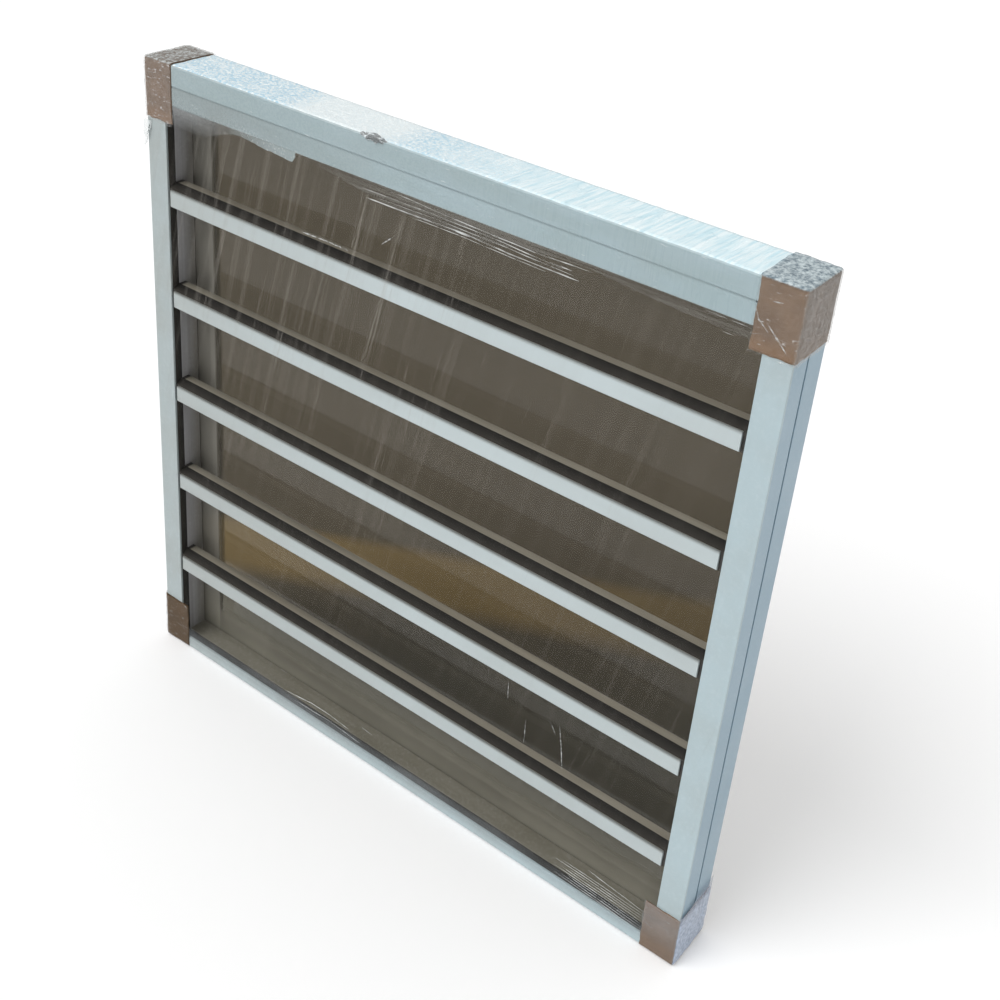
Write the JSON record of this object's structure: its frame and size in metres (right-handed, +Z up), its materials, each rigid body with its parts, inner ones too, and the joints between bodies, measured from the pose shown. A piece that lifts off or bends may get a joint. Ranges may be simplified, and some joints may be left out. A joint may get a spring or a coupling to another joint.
{
  "type": "fixed window",
  "caption": "Square fixed window in a slim white frame, with tinted glass behind horizontal flat security bars and packing guards on the corners.",
  "frame": {"origin": "centre of the object's underside, midway across and midway through the depth, on the floor that the lower guards stand on", "axes": "+Z up, +X to the right seen from the barred side, +Y from the barred side to the glazed back"},
  "size_m": [0.6024, 0.0484, 0.6024],
  "materials": {
    "white_coating": "satin powder coat",
    "bar_coating": "satin powder coat",
    "bronze_glass": "tinted, smooth",
    "black_rubber": "matt",
    "guard_card": "plain brown"
  },
  "bodies": {
    "root": {"bar_1": "bar_coating", "bar_1_gasket": "black_rubber", "bar_2": "bar_coating", "bar_2_gasket": "black_rubber", "bar_3": "bar_coating", "bar_3_gasket": "black_rubber", "bar_4": "bar_coating", "bar_4_gasket": "black_rubber", "bar_5": "bar_coating", "bar_5_gasket": "black_rubber", "bead_head": "white_coating", "bead_jamb_left": "white_coating", "bead_jamb_right": "white_coating", "bead_sill": "white_coating", "frame_head": "white_coating", "frame_jamb_left": "white_coating", "frame_jamb_right": "white_coating", "frame_sill": "white_coating", "front_gasket_head": "black_rubber", "front_gasket_jamb_left": "black_rubber", "front_gasket_jamb_right": "black_rubber", "front_gasket_sill": "black_rubber", "glass_pane": "bronze_glass", "groove_strip_head": "black_rubber", "groove_strip_jamb_left": "black_rubber", "groove_strip_jamb_right": "black_rubber", "groove_strip_sill": "black_rubber", "guard_bottom_left": "guard_card", "guard_bottom_right": "guard_card", "guard_top_left": "guard_card", "guard_top_right": "guard_card", "head_strip": "white_coating", "rear_gasket_head": "black_rubber", "rear_gasket_jamb_left": "black_rubber", "rear_gasket_jamb_right": "black_rubber", "rear_gasket_sill": "black_rubber"}
  },
  "joints": []
}
